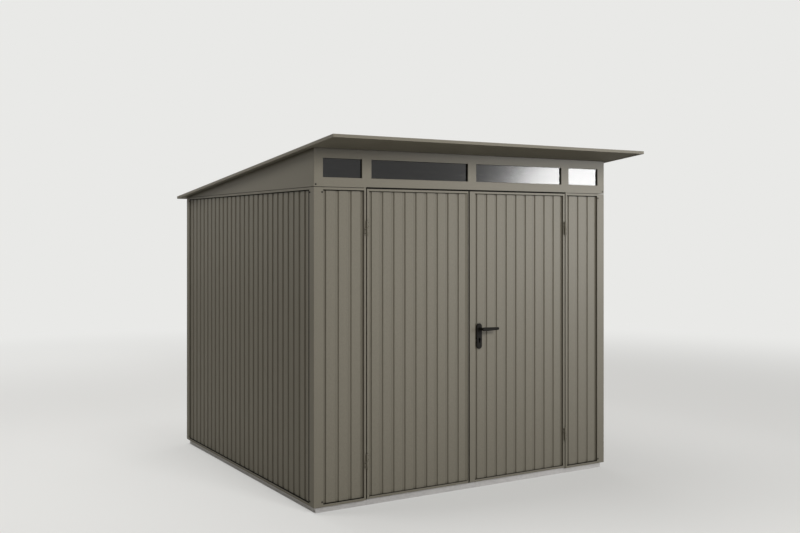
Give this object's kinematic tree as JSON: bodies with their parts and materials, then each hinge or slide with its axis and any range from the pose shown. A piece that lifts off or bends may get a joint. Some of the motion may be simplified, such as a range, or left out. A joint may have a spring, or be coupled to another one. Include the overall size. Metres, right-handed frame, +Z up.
{
  "type": "metal tool shed",
  "caption": "Metal tool shed with ribbed steel walls, a lean-to roof, a double door with a lever handle and a band of windows above the door.",
  "frame": {"origin": "on the ground, under the middle of the roof's outline", "axes": "+Z up; -Y is the door side; +X is to the right as seen from in front of the doors"},
  "size_m": [2.48, 2.842, 2.3176],
  "materials": {
    "wall_paint": "satin warm grey coating on galvanised sheet",
    "roof_paint": "satin warm grey coating on galvanised sheet",
    "galvanised_steel": "dull galvanised",
    "floor_steel": "dull galvanised",
    "acrylic_pane": "clear acrylic, dark inside",
    "lock_steel": "zinc plated",
    "black_fitting": "satin black coating on cast metal"
  },
  "bodies": {
    "shed": {"floor_frame_front": "galvanised_steel", "floor_frame_rear": "galvanised_steel", "floor_frame_left": "galvanised_steel", "floor_frame_right": "galvanised_steel", "floor_panels": "floor_steel", "corner_post_front_left": "wall_paint", "corner_post_front_right": "wall_paint", "corner_post_rear_left": "wall_paint", "corner_post_rear_right": "wall_paint", "front_wall_rails": "wall_paint", "right_wall_rails": "wall_paint", "rear_wall_rails": "wall_paint", "left_wall_rails": "wall_paint", "front_wall_sheets": "wall_paint", "right_wall_sheets": "wall_paint", "rear_wall_sheets": "wall_paint", "left_wall_sheets": "wall_paint", "wall_braces": "galvanised_steel", "door_jamb_left": "wall_paint", "door_jamb_right": "wall_paint", "door_stop": "wall_paint", "window_band": "wall_paint", "window_panes": "acrylic_pane", "left_gable": "wall_paint", "right_gable": "wall_paint", "rear_eaves_strip": "wall_paint", "roof_panel_1": "roof_paint", "roof_panel_2": "roof_paint", "roof_panel_3": "roof_paint", "roof_panel_4": "roof_paint", "roof_trim_front": "roof_paint", "roof_trim_rear": "roof_paint", "roof_trim_sides": "roof_paint", "roof_purlins": "galvanised_steel", "fixed_hinges": "wall_paint"},
    "left_door": {"left_door_sheet": "wall_paint", "left_door_stiles": "wall_paint", "left_door_rails": "wall_paint", "left_door_hinges": "wall_paint"},
    "right_door": {"right_door_sheet": "wall_paint", "right_door_stiles": "wall_paint", "right_door_rails": "wall_paint", "right_door_hinges": "wall_paint", "lock_case": "lock_steel", "lock_cylinder": "black_fitting", "handle_plates": "black_fitting"},
    "door_handle": {"door_lever": "black_fitting"}
  },
  "joints": [
    {"name": "left_door_hinge", "type": "hinge", "parent": "shed", "child": "left_door", "pos_m": [-0.816, -1.06779, 1.027], "axis": [0, 0, -1], "range_deg": [0, 120]},
    {"name": "right_door_hinge", "type": "hinge", "parent": "shed", "child": "right_door", "pos_m": [0.816, -1.06779, 1.027], "axis": [0, 0, 1], "range_deg": [0, 120]},
    {"name": "door_lever_turn", "type": "hinge", "parent": "right_door", "child": "door_handle", "pos_m": [0.062, -1.06079, 1.083], "axis": [0, 1, 0], "range_deg": [0, 40], "stiffness_Nm_per_rad": 1, "springref_deg": -34.38}
  ]
}
